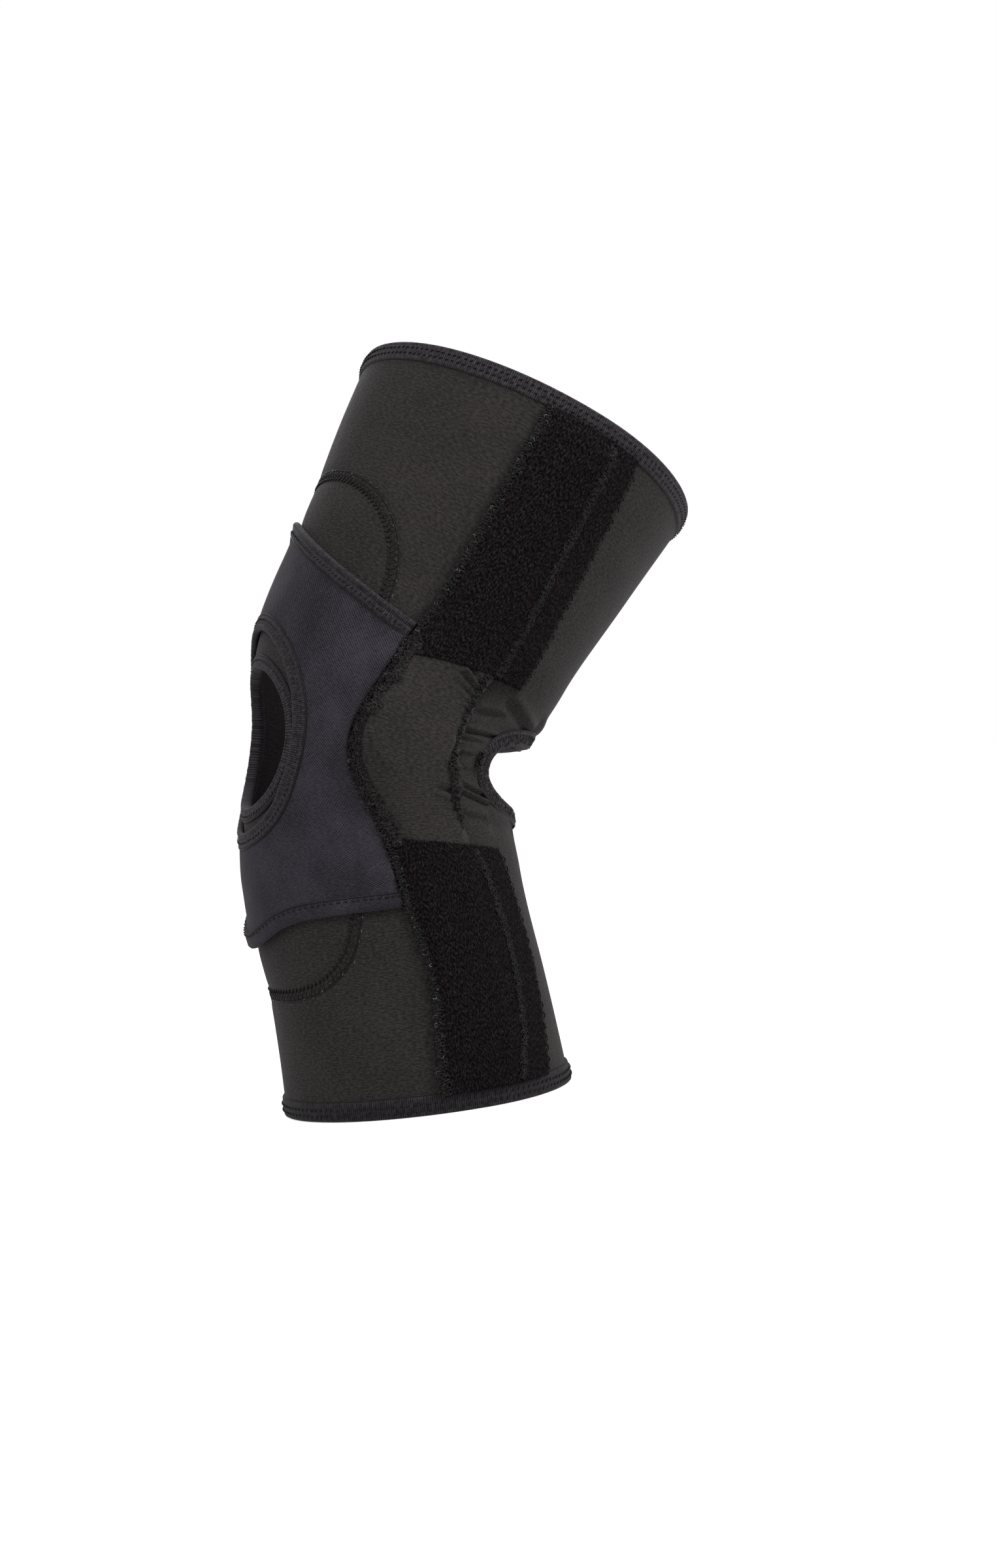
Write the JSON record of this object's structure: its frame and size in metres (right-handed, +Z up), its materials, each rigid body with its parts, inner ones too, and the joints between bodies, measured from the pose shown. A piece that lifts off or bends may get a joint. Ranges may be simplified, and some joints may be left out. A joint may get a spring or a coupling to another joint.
{
  "type": "hinged knee brace",
  "caption": "Pull-on neoprene knee sleeve, stored part bent, with an open knee cap, an open back of the knee and a steel side hinge in a pocket on each side.",
  "frame": {"origin": "on the floor, under the middle of the brace's bounding box", "axes": "+Z up, -Y to the front of the knee, +X to the lateral side of a left leg; the hinge axis lies along X"},
  "size_m": [0.1614, 0.2172, 0.3281],
  "materials": {
    "neoprene": "matt jersey-faced neoprene, charcoal",
    "stretch_overlay": "matt stretch twill, blue-black",
    "binding": "ribbed knit tape, blue-black",
    "loop_pile": "short brushed loop pile, black",
    "overlock": "fuzzy zigzag thread, black",
    "arm": "brushed flat bar",
    "plate": "brushed stamping",
    "rivet": "polished rivet",
    "bush": "natural nylon"
  },
  "bodies": {
    "shin": {"calf_front_panel": "neoprene", "calf_rear_panel": "neoprene", "patella_inset_lower": "neoprene", "bottom_binding": "binding", "patella_inset": "neoprene", "knee_rear_panel": "neoprene", "patella_binding": "binding", "popliteal_binding": "binding", "overlay_panel": "stretch_overlay", "overlay_hole_binding": "binding", "overlay_top_binding": "binding", "overlay_bottom_hem": "stretch_overlay", "lateral_hinge_cover": "neoprene", "medial_hinge_cover": "neoprene", "lateral_edge_band": "overlock", "medial_edge_band": "overlock", "lateral_bar_tack": "binding", "medial_bar_tack": "binding", "lateral_knee_panel": "neoprene", "medial_knee_panel": "neoprene", "lateral_calf_loop": "loop_pile", "medial_calf_loop": "loop_pile", "lateral_calf_loop_edge": "loop_pile", "medial_calf_loop_edge": "loop_pile", "lateral_lower_arm": "arm", "medial_lower_arm": "arm", "lateral_outer_plate": "plate", "medial_outer_plate": "plate", "lateral_inner_plate": "plate", "medial_inner_plate": "plate", "lateral_pivot_rivet": "rivet", "medial_pivot_rivet": "rivet", "lateral_extension_stop": "rivet", "medial_extension_stop": "rivet", "lateral_flexion_stop": "rivet", "medial_flexion_stop": "rivet"},
    "thigh": {"thigh_front_panel": "neoprene", "thigh_rear_panel": "neoprene", "patella_inset_upper": "neoprene", "top_binding": "binding", "lateral_thigh_loop": "loop_pile", "medial_thigh_loop": "loop_pile", "lateral_thigh_loop_edge": "loop_pile", "medial_thigh_loop_edge": "loop_pile", "lateral_upper_arm": "arm", "medial_upper_arm": "arm", "lateral_pivot_bush": "bush", "medial_pivot_bush": "bush"}
  },
  "joints": [
    {"name": "knee_flexion", "type": "hinge", "parent": "shin", "child": "thigh", "pos_m": [0, -0.04751, 0.157], "axis": [-1, 0, 0], "range_deg": [-46, 69], "deforming": ["patella_inset", "knee_rear_panel", "patella_binding", "popliteal_binding", "overlay_panel", "overlay_hole_binding", "overlay_top_binding", "overlay_bottom_hem", "lateral_hinge_cover", "medial_hinge_cover", "lateral_edge_band", "medial_edge_band", "lateral_bar_tack", "medial_bar_tack", "lateral_knee_panel", "medial_knee_panel"]}
  ]
}
